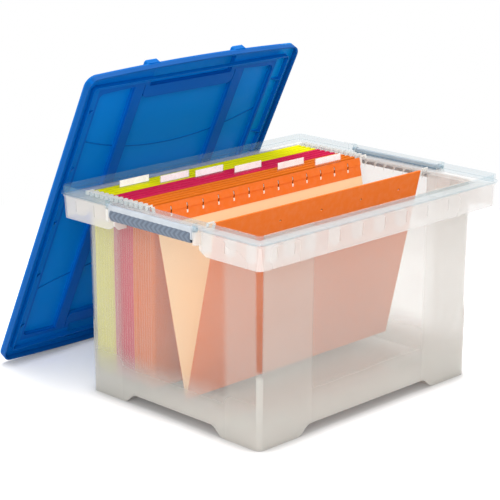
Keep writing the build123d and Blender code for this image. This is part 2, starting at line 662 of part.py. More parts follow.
def label(x: float, face_y: float) -> Part:
    """White card inside a tab's sleeve."""
    depth = 2 * TAB_WALL + TAB_SLOT
    height = TAB_RISE - 2 * LABEL_MARGIN
    width = TAB_WIDTH - 2 * LABEL_MARGIN
    z = FOLDER_TOP + TAB_RISE - TAB_WALL - height / 2
    return Pos(x, face_y - depth / 2, z) * Box(width, LABEL_THICKNESS, height)


# ---------------------------------------------------------------- open folder
def open_lean(rod_y: float) -> float:
    """Signed lean of an open half in degrees from upright, towards +Y."""
    return math.degrees(math.asin((rod_y - OPEN_FOLD_Y) / FOLDER_DEPTH))


def open_place(rod_y: float) -> Location:
    """Frame of an open half at the fold line, leaned towards its rod."""
    lean = open_lean(rod_y)
    fold_z = FOLDER_TOP - FOLDER_DEPTH * math.cos(math.radians(lean))
    return Pos(0, OPEN_FOLD_Y, fold_z) * Rot(-lean, 0, 0)


def flap_slots() -> Part:
    """Row of keyhole slots for tabs, cut from the flap of a half standing at the fold line."""
    top = FOLDER_DEPTH - SLOT_DROP
    y = -FLAP_DEPTH / 2
    pieces = []
    for step in range(-SLOT_STEPS, SLOT_STEPS + 1):
        x = step * SLOT_PITCH
        pieces.append(Pos(x, y, top - SLOT_HEIGHT / 2) * Box(SLOT_WIDTH, FLAP_DEPTH, SLOT_HEIGHT))
        pieces.append(Pos(x, y, top - SLOT_HEIGHT) * Rot(90, 0, 0) * Cylinder(SLOT_EYE, FLAP_DEPTH))
    return Part() + pieces


def front_dots() -> Part:
    """Row of small holes through a front half standing at the fold line."""
    hole = Rot(90, 0, 0) * Cylinder(DOT_RADIUS, FOLDER_THICKNESS)
    middle = (DOT_COUNT - 1) / 2
    places = [(index - middle) * DOT_PITCH for index in range(DOT_COUNT)]
    return Part() + [Pos(x, 0, FOLDER_DEPTH - DOT_DROP) * hole for x in places]


def open_rear() -> Part:
    """Rear half of the open folder."""
    return open_place(OPEN_REAR_Y) * (half_folder(PAPER) - flap_slots())


def open_front() -> Part:
    """Front half of the open folder."""
    half = mirror(half_folder(PAPER), about=Plane.XZ)
    return open_place(OPEN_FRONT_Y) * (half - front_dots())


def open_rod(rod_y: float, facing: int) -> Part:
    """Rod of an open half; facing is +1 when its outer face looks towards +Y."""
    top = FOLDER_DEPTH - PAPER - ROD_CLEARANCE
    return open_place(rod_y) * rod(facing * rod_middle(PAPER), top)


# ---------------------------------------------------------------- assembly
def build() -> dict:
    """Every node of the set, about the tub's middle."""
    nodes = {"tub": tub(), "lid": lid()}
    for name, side in SIDES.items():
        nodes[f"handle_bar_{name}"] = handle_bar(side)
        nodes[f"handle_grip_{name}"] = handle_grip(side)
    for index, colour in enumerate(FOLDER_COLOURS):
        y = FIRST_FOLDER_Y - index * FOLDER_PITCH
        nodes[f"folder_{index + 1:02d}_{colour}"] = closed_folder(y)
        nodes[f"rods_{index + 1:02d}"] = closed_rods(y)
    for order, index in enumerate(TAB_FOLDERS):
        face_y = FIRST_FOLDER_Y - index * FOLDER_PITCH - FOLDER_THICKNESS / 2
        nodes[f"tab_{index + 1:02d}"] = tab(tab_x(order), face_y)
        nodes[f"label_{index + 1:02d}"] = label(tab_x(order), face_y)
    nodes["open_folder_rear"] = open_rear()
    nodes["open_folder_front"] = open_front()
    nodes["open_rod_rear"] = open_rod(OPEN_REAR_Y, 1)
    nodes["open_rod_front"] = open_rod(OPEN_FRONT_Y, -1)
    return nodes


def export(nodes: dict) -> None:
    """Move the set so that its bottom centre is the origin, and write one file per node."""
    os.makedirs("parts", exist_ok=True)
    boxes = [shape.bounding_box() for shape in nodes.values()]
    middle_x = (min(box.min.X for box in boxes) + max(box.max.X for box in boxes)) / 2
    middle_y = (min(box.min.Y for box in boxes) + max(box.max.Y for box in boxes)) / 2
    for name, shape in nodes.items():
        export_step(Pos(-middle_x, -middle_y, 0) * shape, f"parts/{name}.step")
    print("moved by", -middle_x, -middle_y)


if __name__ == "__main__":
    export(build())
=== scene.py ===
"""Looks of the portable file box: a clear tub, a blue lid leaning on it and hanging folders.

Metres, +Z up, in the frame of the solid model, whose origin is the bottom centre of the whole
set. The tub's own middle lies at y = TUB_Y. Sizes are fields of the classes they belong to.
"""
import logging
import math
from dataclasses import dataclass, field
from enum import Enum

import bpy
import numpy as np
from mathutils import Matrix, Vector


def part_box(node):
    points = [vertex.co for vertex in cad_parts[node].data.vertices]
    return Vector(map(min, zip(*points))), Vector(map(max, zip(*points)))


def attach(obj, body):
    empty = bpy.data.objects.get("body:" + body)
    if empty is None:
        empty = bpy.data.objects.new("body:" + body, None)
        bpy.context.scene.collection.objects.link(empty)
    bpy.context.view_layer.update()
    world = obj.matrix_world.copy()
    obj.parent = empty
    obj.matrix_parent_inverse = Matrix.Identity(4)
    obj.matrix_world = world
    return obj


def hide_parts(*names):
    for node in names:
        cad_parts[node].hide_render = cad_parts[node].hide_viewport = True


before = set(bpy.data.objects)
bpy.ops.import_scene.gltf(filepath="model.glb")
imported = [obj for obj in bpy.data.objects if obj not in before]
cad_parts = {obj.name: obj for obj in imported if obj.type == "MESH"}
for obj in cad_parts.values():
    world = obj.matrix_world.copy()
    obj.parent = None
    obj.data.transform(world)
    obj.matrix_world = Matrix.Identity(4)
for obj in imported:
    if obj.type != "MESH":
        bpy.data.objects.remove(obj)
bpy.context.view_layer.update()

logging.basicConfig(level=logging.INFO, format="%(message)s")
LOG = logging.getLogger("file_box")

MM = 0.001
TUB_Y = -73.9313 * MM
PLASTIC_IOR = 1.49
SHARP_ANGLE = math.radians(30)
WELD_DISTANCE = 1e-6
BEVEL_SEGMENTS = 2
FLAT_FACE_WEIGHT = 80
MIX_INPUTS = (0, 6, 7)  # a colour Mix node's factor and its two colours
MIX_OUTPUT = 2

Colour = tuple[float, float, float, float]
Span = tuple[float, float]


def srgb(red: int, green: int, blue: int) -> Colour:
    """Linear colour of an 8-bit display colour.

    Args:
        red, green, blue: Channels from 0 to 255.

    Returns:
        Linear red, green, blue and an alpha of 1.
    """
    channels = [
        c / 12.92 if c <= 0.04045 else ((c + 0.055) / 1.055) ** 2.4
        for c in (red / 255, green / 255, blue / 255)
    ]
    return (*channels, 1.0)


# ------------------------------------------------------------------ shader graphs
class Graph:
    """One material's node graph, with short calls for the nodes that the finishes share."""

    def __init__(self, name: str) -> None:
        """Start an empty material.

        Args:
            name: The material's name.
        """
        self.material = bpy.data.materials.new(name)
        self.material.use_nodes = True
        self.tree = self.material.node_tree
        self.tree.nodes.clear()
        self.output = self.tree.nodes.new("ShaderNodeOutputMaterial")
        self.shader = self.tree.nodes.new("ShaderNodeBsdfPrincipled")
        self.tree.links.new(self.shader.outputs["BSDF"], self.output.inputs["Surface"])
        self.where = self.tree.nodes.new("ShaderNodeTexCoord").outputs["Object"]

    def put(self, socket: bpy.types.NodeSocket, value: object) -> None:
        """Link a socket, or set its constant.

        Args:
            socket: The input to feed.
            value: Another node's output, a number or a colour.
        """
        if isinstance(value, bpy.types.NodeSocket):
            self.tree.links.new(value, socket)
        else:
            socket.default_value = value

    def set(self, **inputs: object) -> None:
        """Feed several of the shader's inputs, each named with underscores for spaces."""
        for name, value in inputs.items():
            self.put(self.shader.inputs[name.replace("_", " ")], value)

    def math(self, operation: str, *values: object) -> bpy.types.NodeSocket:
        """One Math node.

        Args:
            operation: Blender's name of the operation.
            values: Its inputs in order.

        Returns:
            Its output.
        """
        node = self.tree.nodes.new("ShaderNodeMath")
        node.operation = operation
        for socket, value in zip(node.inputs, values):
            self.put(socket, value)
        return node.outputs[0]

    def split(self, vector: bpy.types.NodeSocket) -> tuple[bpy.types.NodeSocket, ...]:
        """Split a vector.

        Args:
            vector: The vector's socket.

        Returns:
            Its X, Y and Z.
        """
        node = self.tree.nodes.new("ShaderNodeSeparateXYZ")
        self.put(node.inputs[0], vector)
        return tuple(node.outputs)

    def axes(self) -> tuple[bpy.types.NodeSocket, ...]:
        """The object coordinates' X, Y and Z."""
        return self.split(self.where)

    def facing(self) -> tuple[bpy.types.NodeSocket, ...]:
        """The surface normal's X, Y and Z in object space."""
        return self.split(self.tree.nodes.new("ShaderNodeTexCoord").outputs["Normal"])

    def ramp(
        self, value: object, low: float, high: float, start: float = 0, stop: float = 1
    ) -> bpy.types.NodeSocket:
        """Smooth step of a value.

        Args:
            value: What is measured.
            low, high: Where the step begins and ends.
            start, stop: The result before and after the step.

        Returns:
            The stepped value.
        """
        node = self.tree.nodes.new("ShaderNodeMapRange")
        node.interpolation_type = "SMOOTHSTEP"
        for socket, item in zip(node.inputs, (value, low, high, start, stop)):
            self.put(socket, item)
        return node.outputs[0]

    def over(self, mask: object, below: object, above: object) -> bpy.types.NodeSocket:
        """Mix of two numbers: below where the mask is 0, above where it is 1."""
        return self.math("MULTIPLY_ADD", mask, self.math("SUBTRACT", above, below), below)

    def product(self, *masks: object) -> bpy.types.NodeSocket:
        """Mask that is 1 where every given mask is.

        Args:
            masks: Two masks or more.

        Returns:
            Their product.
        """
        result = masks[0]
        for mask in masks[1:]:
            result = self.math("MULTIPLY", result, mask)
        return result

    def distance(self, first: object, second: object) -> bpy.types.NodeSocket:
        """Length of a plane vector, the square root of the sum of its parts' squares."""
        squares = [self.math("POWER", part, 2.0) for part in (first, second)]
        return self.math("SQRT", self.math("ADD", *squares))

    def noise(self, scale: float, detail: float = 3, stretch: tuple = (1, 1, 1)) -> bpy.types.NodeSocket:
        """Noise on object coordinates.

        Args:
            scale: Cells per metre.
            detail: Octaves.
            stretch: Scale along each axis.

        Returns:
            The noise, about 0.5.
        """
        mapping = self.tree.nodes.new("ShaderNodeMapping")
        self.put(mapping.inputs["Vector"], self.where)
        mapping.inputs["Scale"].default_value = stretch
        node = self.tree.nodes.new("ShaderNodeTexNoise")
        self.put(node.inputs["Vector"], mapping.outputs[0])
        node.inputs["Scale"].default_value = scale
        node.inputs["Detail"].default_value = detail
        return node.outputs[0]

    def blend(self, factor: object, low: object, high: object) -> bpy.types.NodeSocket:
        """Mix of two colours.

        Args:
            factor: 0 for low, 1 for high.
            low, high: The colours.

        Returns:
            The mixed colour.
        """
        node = self.tree.nodes.new("ShaderNodeMix")
        node.data_type = "RGBA"
        for socket, value in zip(MIX_INPUTS, (factor, low, high)):
            self.put(node.inputs[socket], value)
        return node.outputs[MIX_OUTPUT]

    def bump(self, height: object, depth: float, strength: float = 1) -> None:
        """Give the shader a bumped normal.

        Args:
            height: Height from 0 to 1.
            depth: Metres for a height of 1.
            strength: Share of the bump that shows.
        """
        node = self.tree.nodes.new("ShaderNodeBump")
        node.inputs["Strength"].default_value = strength
        node.inputs["Distance"].default_value = depth
        self.put(node.inputs["Height"], height)
        self.put(self.shader.inputs["Normal"], node.outputs[0])


# ------------------------------------------------------------------ finishes
def fibrous(graph: Graph) -> None:
    """Give a shader card's dull surface, with fibres that run along X."""
    graph.set(Roughness=0.8, Specular_IOR_Level=0.06)
    graph.bump(graph.noise(1400, 3, (0.35, 1, 1)), 0.05 * MM, 0.5)


@dataclass(frozen=True)
class MilkyPlastic:
    """Clear moulded plastic: frosted corners and feet, milky ribs and a clear rim, with painted light and
    shade.

    Haze is the share of one surface that isn't see-through; a wall has two surfaces. Each pair
    of lengths is where a zone's soft edge starts and ends, measured from the tub's middle or
    from the floor. The collar is all that stands outside the walls: shelf, skirt, ribs and rim.
    The walls' grey body is painted shade and the collar's paler body painted light, a shaded and
    a lit copy of one plastic; the rim's blue-grey body is painted shade tinted with the blue of
    the lid behind it.
    """

    name: str = "tub_milky_clear"
    # Painted shade and light: the walls' grey body is a shaded copy of the plastic, the collar's pale body
    # a lit copy, and the rim's blue-grey body painted shade tinted with the lid's blue.
    body: Colour = srgb(215, 213, 206)
    collar_lit_body: Colour = srgb(242, 239, 236)
    rim_shade_body: Colour = srgb(140, 186, 202)
    frosted_x: Span = (103 * MM, 108 * MM)
    frosted_y: Span = (88 * MM, 102 * MM)
    long_wall_y: Span = (149 * MM, 151 * MM)
    strip_x: Span = (189.5 * MM, 191.5 * MM)
    strip_y: Span = (146.5 * MM, 148.5 * MM)
    strip_z: Span = (88 * MM, 104 * MM)
    foot_z: Span = (74 * MM, 14 * MM)
    collar_z: Span = (233 * MM, 234 * MM)
    rim_z: Span = (264.3 * MM, 264.8 * MM)
    return_inner_y: Span = (74.7 * MM, 75 * MM)
    return_outer_y: Span = (78.5 * MM, 78.2 * MM)
    walls_half: Span = (200.5 * MM, 157.5 * MM)
    skirt_half: Span = (219.2 * MM, 176.2 * MM)
    rim_half: Span = (217.5 * MM, 174.5 * MM)
    outline_blur: float = 0.3 * MM
    roughness: Span = (0.18, 0.42)
    haze_short: float = 0.15
    haze_long: float = 0.30
    haze_frosted_short: float = 0.28
    haze_frosted_long: float = 0.40
    # Painted highlight and painted refraction of the rounded corners: milky low down, nearly clear higher
    # up.
    haze_corner_glint: Span = (0.62, 0.09)
    haze_foot: float = 0.60
    haze_rim: float = 0.13
    haze_skirt: float = 0.28
    haze_rib: float = 0.46
    haze_return: float = 0.6
    haze_cloud: float = 0.07

    def make(self) -> bpy.types.Material:
        """Build the material from masks on the tub's own coordinates.

        Returns:
            The material.
        """
        graph = Graph(self.name)
        x, y, z = graph.axes()
        sides = (graph.math("ABSOLUTE", x), graph.math("ABSOLUTE", graph.math("SUBTRACT", y, TUB_Y)))
        corner = graph.product(graph.ramp(sides[0], *self.frosted_x), graph.ramp(sides[1], *self.frosted_y))
        collar = graph.product(graph.ramp(z, *self.collar_z), self.outside(graph, sides, self.walls_half))
        rim = graph.product(graph.ramp(z, *self.rim_z), self.outside(graph, sides, self.rim_half))
        haze = graph.over(collar, self.wall_haze(graph, sides, z, corner), self.collar_haze(graph, sides))
        cloud = graph.math("SUBTRACT", graph.noise(11, 3), 0.5)
        haze = graph.over(rim, graph.math("MULTIPLY_ADD", cloud, self.haze_cloud, haze), self.haze_rim)
        # Painted light and shade: the walls get the shaded body, the collar the lit one and the rim the
        # shaded blue-grey one.
        body = graph.blend(rim, graph.blend(collar, self.body, self.collar_lit_body), self.rim_shade_body)
        graph.set(Base_Color=body, Alpha=haze, IOR=PLASTIC_IOR, Specular_IOR_Level=0.4)
        graph.set(Roughness=graph.ramp(corner, 0, 1, *self.roughness))
        graph.bump(graph.noise(420, 2), 0.05 * MM, 0.3)
        return graph.material

    def outside(self, graph: Graph, sides: tuple, half: Span) -> bpy.types.NodeSocket:
        """Mask of all that lies outside a rectangle of the plan.

        Args:
            graph: The material's graph.
            sides: Distances from the tub's middle along X and Y.
            half: The rectangle's half sizes.

        Returns:
            The mask.
        """
        blur = self.outline_blur
        past = [graph.ramp(side, limit - blur, limit + blur) for side, limit in zip(sides, half)]
        return graph.math("MAXIMUM", *past)

    def wall_haze(self, graph: Graph, sides: tuple, z: object, corner: object) -> bpy.types.NodeSocket:
        """Haze of the walls, the feet and the corner strips, which carry a painted highlight and painted
        refraction.

        Args:
            graph: The material's graph.
            sides: Distances from the tub's middle along X and Y.
            z: Height over the floor.
            corner: Mask of the frosted corners.

        Returns:
            The haze.
        """
        long_wall = graph.ramp(sides[1], *self.long_wall_y)
        clear = graph.ramp(long_wall, 0, 1, self.haze_short, self.haze_long)
        frosted = graph.ramp(long_wall, 0, 1, self.haze_frosted_short, self.haze_frosted_long)
        # Painted highlight and painted refraction: the rounded corners' strips are milky white low down, a
        # painted highlight, and nearly clear higher up, where the corner shows the folders' colour unhazed.
        strip = graph.product(graph.ramp(sides[0], *self.strip_x), graph.ramp(sides[1], *self.strip_y))
        corner_glint_haze = graph.ramp(z, *self.strip_z, *self.haze_corner_glint)
        haze = graph.over(strip, graph.over(corner, clear, frosted), corner_glint_haze)
        return graph.over(graph.ramp(z, *self.foot_z), haze, self.haze_foot)

    def collar_haze(self, graph: Graph, sides: tuple) -> bpy.types.NodeSocket:
        """Haze of the ribs, the shelf, the clearer skirt and the milkier walls beside the handles.

        Args:
            graph: The material's graph.
            sides: Distances from the tub's middle along X and Y.

        Returns:
            The haze.
        """
        skirt = self.outside(graph, sides, self.skirt_half)
        haze = graph.ramp(skirt, 0, 1, self.haze_rib, self.haze_skirt)
        inner, outer = (graph.ramp(sides[1], *span) for span in (self.return_inner_y, self.return_outer_y))
        return graph.over(graph.product(inner, outer), haze, self.haze_return)


@dataclass(frozen=True)
class EdgeGlint:
    """Painted highlight: a flat colour on the rounded strips along sharp edges, the thin bright line that a
    moulded edge shows where it gathers light.
    """

    name: str
    colour: Colour
    opacity: float = 0.9
    roughness: Span = (0.16, 0.3)

    def make(self) -> bpy.types.Material:
        """Build the material.

        Returns:
            The material.
        """
        graph = Graph(self.name)
        graph.set(Base_Color=self.colour, Alpha=self.opacity)
        graph.set(Roughness=graph.ramp(graph.noise(60, 2), 0.3, 0.7, *self.roughness))
        return graph.material


@dataclass(frozen=True)
class BluePlastic:
    """Blue moulding with painted shade and painted light.

    Darker blues are painted as shade in the bands between the platform's sections, on the
    panel's raised arc, ridge and skirt and round the outer edge; the border is painted darker,
    and lighter towards +X. The flow noise is random tone.

    A point's height is measured from the border's outside towards the skirt's free edge, along
    (0, -sin lean, -cos lean), and its rise up the lid from its lower end, along
    (0, -cos lean, sin lean). Each pair of lengths is where a zone's soft edge starts and ends.
    """

    name: str = "lid_translucent_blue"
    panel: Colour = srgb(0, 122, 212)
    panel_light: Colour = srgb(0, 130, 220)
    # Painted shade: darker blues for the bands, the panel's raised arc, the skirt and the outer edge.
    band_shade: Colour = srgb(4, 92, 182)
    border: Colour = srgb(0, 108, 196)
    border_lit_side: Colour = srgb(0, 136, 216)
    bead_shade: Colour = srgb(0, 98, 184)
    edge: Colour = srgb(8, 90, 168)
    lean: float = math.radians(63.9)
    foot_y: float = 323.02 * MM
    foot_z: float = 4.4 * MM
    middle_x: float = -38.3 * MM
    half_length: float = 236 * MM
    bead_height: Span = (-4.6 * MM, -4.45 * MM)
    border_height: Span = (-3.9 * MM, -3.7 * MM)
    band_height: Span = (-1.2 * MM, -0.6 * MM)
    skirt_height: Span = (2.4 * MM, 2.9 * MM)
    light_from_x: Span = (150 * MM, 165 * MM)
    platform_rise: Span = (208 * MM, 206 * MM)
    platform_side: Span = (158.5 * MM, 157.5 * MM)
    edge_rise: Span = (227 * MM, 228 * MM)
    edge_side: Span = (183 * MM, 183.6 * MM)
    roughness: Span = (0.38, 0.5)

    def make(self) -> bpy.types.Material:
        """Build the material from masks on the lid's own height, rise and side.

        Returns:
            The material.
        """
        graph = Graph(self.name)
        x, y, z = graph.axes()
        sine, cosine = math.sin(self.lean), math.cos(self.lean)
        away_y = graph.math("SUBTRACT", y, TUB_Y + self.foot_y)
        away_z = graph.math("SUBTRACT", z, self.foot_z)
        height = graph.math("MULTIPLY_ADD", away_z, -cosine, graph.math("MULTIPLY", away_y, -sine))
        rise = graph.math("MULTIPLY_ADD", away_z, sine, graph.math("MULTIPLY", away_y, -cosine))
        from_middle = graph.math("ABSOLUTE", graph.math("SUBTRACT", rise, self.half_length))
        along_x = graph.math("SUBTRACT", x, self.middle_x)
        side = graph.math("ABSOLUTE", along_x)
        flow = graph.ramp(graph.noise(5, 3, (1, 1, 0.4)), 0.3, 0.7)
        # Painted light: the border turns lighter towards +X.
        border = graph.blend(graph.ramp(along_x, *self.light_from_x), self.border, self.border_lit_side)
        band_shade = graph.product(
            graph.ramp(from_middle, *self.platform_rise),
            graph.ramp(side, *self.platform_side),
            graph.ramp(height, *self.band_height),
        )
        tall = graph.ramp(height, *self.skirt_height)
        rim = graph.math(
            "MAXIMUM", graph.ramp(from_middle, *self.edge_rise), graph.ramp(side, *self.edge_side)
        )
        colour = graph.blend(flow, self.panel, self.panel_light)
        # Painted shade on the panel's raised arc, in the bands, on the skirt and round the outer edge.
        colour = graph.blend(graph.ramp(height, *self.bead_height), colour, self.bead_shade)
        colour = graph.blend(graph.ramp(height, *self.border_height), colour, border)
        colour = graph.blend(band_shade, colour, self.band_shade)
        colour = graph.blend(tall, colour, self.bead_shade)
        colour = graph.blend(graph.product(tall, rim), colour, self.edge)
        graph.set(Base_Color=colour, Specular_IOR_Level=0.06)
        graph.set(Roughness=graph.ramp(graph.noise(30, 2), 0.3, 0.7, *self.roughness))
        graph.bump(graph.noise(500, 2), 0.04 * MM, 0.3)
        return graph.material


@dataclass(frozen=True)
class GreyPlastic:
    """Smooth mid-grey plastic of the handle's bar."""

    name: str = "bar_grey"
    colour: Colour = srgb(200, 206, 213)
    shading: float = 0.86

    def make(self) -> bpy.types.Material:
        """Build the material.

        Returns:
            The material.
        """
        graph = Graph(self.name)
        tone = graph.ramp(graph.noise(40, 3), 0.3, 0.7)
        shade = tuple(self.shading * c for c in self.colour[:3]) + (1.0,)
        graph.set(Base_Color=graph.blend(tone, shade, self.colour), Roughness=0.3)
        graph.bump(graph.noise(900, 2), 0.03 * MM, 0.3)
        return graph.material


@dataclass(frozen=True)
class SleeveRubber:
    """Soft matte slate sleeve: its chevrons' crests are painted lighter, a painted highlight, and their
    valleys darker, painted shade, under a random dusty speckle.
    """

    name: str = "grip_slate"
    valley_shade: Colour = srgb(92, 104, 120)
    ridge: Colour = srgb(116, 128, 144)
    crest_highlight_share: float = 0.8
    dust_share: float = 0.3

    def make(self) -> bpy.types.Material:
        """Build the material; the mesh's "ridge" attribute is 1 on a ridge's crest.

        Returns:
            The material.
        """
        graph = Graph(self.name)
        crest = graph.tree.nodes.new("ShaderNodeAttribute")
        crest.attribute_name = "ridge"
        # Painted highlight and shade: the crests take the lighter colour and the valleys the darker one;
        # the noise adds a random speckle.
        raised = graph.math("MULTIPLY", crest.outputs["Fac"], self.crest_highlight_share)
        tone = graph.math("MULTIPLY_ADD", graph.noise(300, 2), self.dust_share, raised)
        graph.set(Base_Color=graph.blend(tone, self.valley_shade, self.ridge), Roughness=0.62)
        graph.bump(graph.noise(1500, 2), 0.06 * MM, 0.5)
        return graph.material


@dataclass(frozen=True)
class Card:
    """Coloured card with fibres and slight wear; its end faces, which look along X, are painted pale, a
    painted highlight.

    The glow is painted light: a faint light of its own, in its own colour, though the card is no lamp.
    """

    name: str
    colour: Colour
    worn: Colour
    end_highlight: Colour = srgb(252, 236, 228)
    end_highlight_share: float = 0.75
    glow: float = 0.0

    def make(self) -> bpy.types.Material:
        """Build the material.

        Returns:
            The material.
        """
        graph = Graph(self.name)
        mottle = graph.ramp(graph.noise(130, 4), 0.4, 0.9, 0, 0.4)
        # Painted highlight: faces that look along X, the folder's ends, are blended towards a pale colour.
        end = graph.ramp(graph.math("ABSOLUTE", graph.facing()[0]), 0.8, 0.95, 0, self.end_highlight_share)
        face = graph.blend(mottle, self.colour, self.worn)
        graph.set(Base_Color=graph.blend(end, face, self.end_highlight))
        # Painted light: when set, the glow makes the card shine faintly in its own colour.
        graph.set(Emission_Color=self.colour, Emission_Strength=self.glow)
        fibrous(graph)
        return graph.material


@dataclass(frozen=True)
class OpenCard:
    """The open folder's card: bright outside and on the flap, pale inside, with painted shade: dark marks
    where its slots and holes are.

    Slots and holes lie at x = k pitch for whole k. Each pair of lengths is where a mark's soft
    edge starts and ends, and each pair of facings, from -1 outward to 1 inward, is where a
    colour or a mark sets in on faces that look that way.
    """

    name: str
    outside: Colour
    outside_low: Colour
    inside: Colour
    inner_side: int
    worn: Colour = srgb(255, 226, 200)
    # Painted shade: the dark colours below paint the card's slots and holes.
    slot: Colour = srgb(70, 36, 16)
    eye: Colour = srgb(255, 244, 232)
    hole_shade: Colour = srgb(40, 18, 10)
    flap_z: Span = (244 * MM, 243.4 * MM)
    score_z: Span = (214.5 * MM, 215.5 * MM)
    slot_pitch: float = 27.3 * MM
    slot_reach: Span = (176 * MM, 175 * MM)
    slot_half: Span = (0.95 * MM, 0.75 * MM)
    slot_bottom: Span = (255.0 * MM, 255.2 * MM)
    slot_top: Span = (264.4 * MM, 264.2 * MM)
    eye_half: Span = (1.5 * MM, 1.2 * MM)
    eye_bottom: Span = (251.2 * MM, 251.4 * MM)
    eye_top: Span = (255.4 * MM, 255.2 * MM)
    hole_pitch: float = 75 * MM
    hole_z: float = 247.9 * MM
    hole_radius: Span = (1.7 * MM, 1.3 * MM)
    pale_facing: Span = (0.1, 0.3)
    slot_facing: Span = (-0.5, 0.0)
    hole_facing: Span = (-0.2, -0.5)

    def make(self) -> bpy.types.Material:
        """Build the material; inner_side is the sign of Y that the pale face looks to.

        Returns:
            The material.
        """
        graph = Graph(self.name)
        x, _, z = graph.axes()
        inward = graph.math("MULTIPLY", graph.facing()[1], self.inner_side)
        pale = graph.product(graph.ramp(inward, *self.pale_facing), graph.ramp(z, *self.flap_z))
        outer = graph.blend(graph.ramp(z, *self.score_z), self.outside_low, self.outside)
        mottle = graph.ramp(graph.noise(120, 4), 0.3, 0.8, 0, 0.05)
        colour = graph.blend(mottle, graph.blend(pale, outer, self.inside), self.worn)
        colour = self.slotted(graph, colour, x, z, graph.ramp(inward, *self.slot_facing))
        colour = self.pierced(graph, colour, x, z, graph.ramp(inward, *self.hole_facing))
        graph.set(Base_Color=colour)
        fibrous(graph)
        return graph.material

    def slotted(
        self, graph: Graph, colour: object, x: object, z: object, face: object
    ) -> bpy.types.NodeSocket:
        """The colour with dark slots, painted shade, over pale eyes.

        Args:
            graph: The material's graph.
            colour: The card's colour.
            x, z: Place along the folder, and height.
            face: Mask of the faces that carry the marks.

        Returns:
            The marked colour.
        """
        off = graph.math("PINGPONG", x, self.slot_pitch / 2)
        row = graph.product(face, graph.ramp(graph.math("ABSOLUTE", x), *self.slot_reach))
        marks = (
            (self.eye, self.eye_half, self.eye_bottom, self.eye_top),
            (self.slot, self.slot_half, self.slot_bottom, self.slot_top),
        )
        # Each slot is painted dark, as painted shade, over a pale eye.
        for tone, half, bottom, top in marks:
            tall = graph.product(graph.ramp(z, *bottom), graph.ramp(z, *top))
            colour = graph.blend(graph.product(row, graph.ramp(off, *half), tall), colour, tone)
        return colour

    def pierced(
        self, graph: Graph, colour: object, x: object, z: object, face: object
    ) -> bpy.types.NodeSocket:
        """The colour with small dark holes, painted shade.

        Args:
            graph: The material's graph.
            colour: The card's colour.
            x, z: Place along the folder, and height.
            face: Mask of the faces that carry the holes.

        Returns:
            The marked colour.
        """
        off = graph.math("PINGPONG", x, self.hole_pitch / 2)
        radius = graph.distance(off, graph.math("SUBTRACT", z, self.hole_z))
        # Painted shade: dark dots where the card's holes are.
        return graph.blend(graph.product(graph.ramp(radius, *self.hole_radius), face), colour, self.hole_shade)


@dataclass(frozen=True)
class CoatedSteel:
    """White-coated flat rod, with small scuffs."""

    name: str = "rod_white"
    coat: Colour = srgb(238, 238, 234)
    scuffed: Colour = srgb(188, 190, 192)

    def make(self) -> bpy.types.Material:
        """Build the material.

        Returns:
            The material.
        """
        graph = Graph(self.name)
        scuff = graph.ramp(graph.noise(220, 4), 0.62, 0.7)
        graph.set(Base_Color=graph.blend(scuff, self.coat, self.scuffed), Roughness=0.3)
        return graph.material


@dataclass(frozen=True)
class TabPlastic:
    """Clear tab holder with a faint haze."""

    name: str = "tab_clear"
    colour: Colour = srgb(240, 243, 246)
    haze: Span = (0.07, 0.13)

    def make(self) -> bpy.types.Material:
        """Build the material.

        Returns:
            The material.
        """
        graph = Graph(self.name)
        haze = graph.ramp(graph.noise(80, 2), 0.3, 0.7, *self.haze)
        graph.set(Base_Color=self.colour, Alpha=haze, Roughness=0.1, IOR=PLASTIC_IOR)
        return graph.material


@dataclass(frozen=True)
class Floor:
    """Plain pale floor with soft shadows near the set, deepened by a painted contact shadow, and plain
    white further off.
    """

    name: str = "floor_white"
    white: Colour = srgb(250, 250, 250)
    shaded: Colour = srgb(150, 148, 146)
    black: Colour = (0.0, 0.0, 0.0, 1.0)
    away: Span = (0.55, 1.0)
    contact: float = 0.03
    openness: Span = (0.35, 0.98)
    contact_shade: Span = (0.3, 1.0)
    own_light: Span = (0.3, 1.0)

    def make(self) -> bpy.types.Material:
        """Build the material; seen straight on, a little light of its own makes it white.

        Returns:
            The material.
        """
        graph = Graph(self.name)
        path = graph.tree.nodes.new("ShaderNodeLightPath")
        seen = graph.math("MAXIMUM", path.outputs["Is Camera Ray"], path.outputs["Is Glossy Ray"])
        seen = graph.math("MAXIMUM", seen, path.outputs["Is Transmission Ray"])
        # Painted shadow: an ambient-occlusion mask darkens the floor's colour and its own light near the
        # set.
        contact = graph.tree.nodes.new("ShaderNodeAmbientOcclusion")
        contact.inputs["Distance"].default_value = self.contact
        shade = graph.ramp(contact.outputs["AO"], *self.openness, *self.contact_shade)
        x, y, _ = graph.axes()
        away = graph.ramp(graph.distance(x, y), *self.away)
        glow = graph.product(seen, shade, graph.ramp(away, 0, 1, *self.own_light))
        tone = graph.blend(shade, self.shaded, self.white)
        graph.set(Base_Color=graph.blend(graph.product(away, seen), tone, self.black))
        graph.set(Roughness=0.9, Specular_IOR_Level=0.0)
        graph.set(Emission_Color=(1, 1, 1, 1), Emission_Strength=glow)
        return graph.material


class Paper(Enum):
    """The stack's card colours: face and worn tone."""

    YELLOW = (srgb(250, 246, 10), srgb(252, 248, 60))
    RED = (srgb(222, 34, 86), srgb(228, 70, 112))
    ORANGE = (srgb(238, 122, 30), srgb(242, 140, 62))


# ------------------------------------------------------------------ mesh helpers
def smoothstep(share: np.ndarray) -> np.ndarray:
    """The curve 3 t^2 - 2 t^3 of values t from 0 to 1, level at both ends."""
    return share * share * (3 - 2 * share)


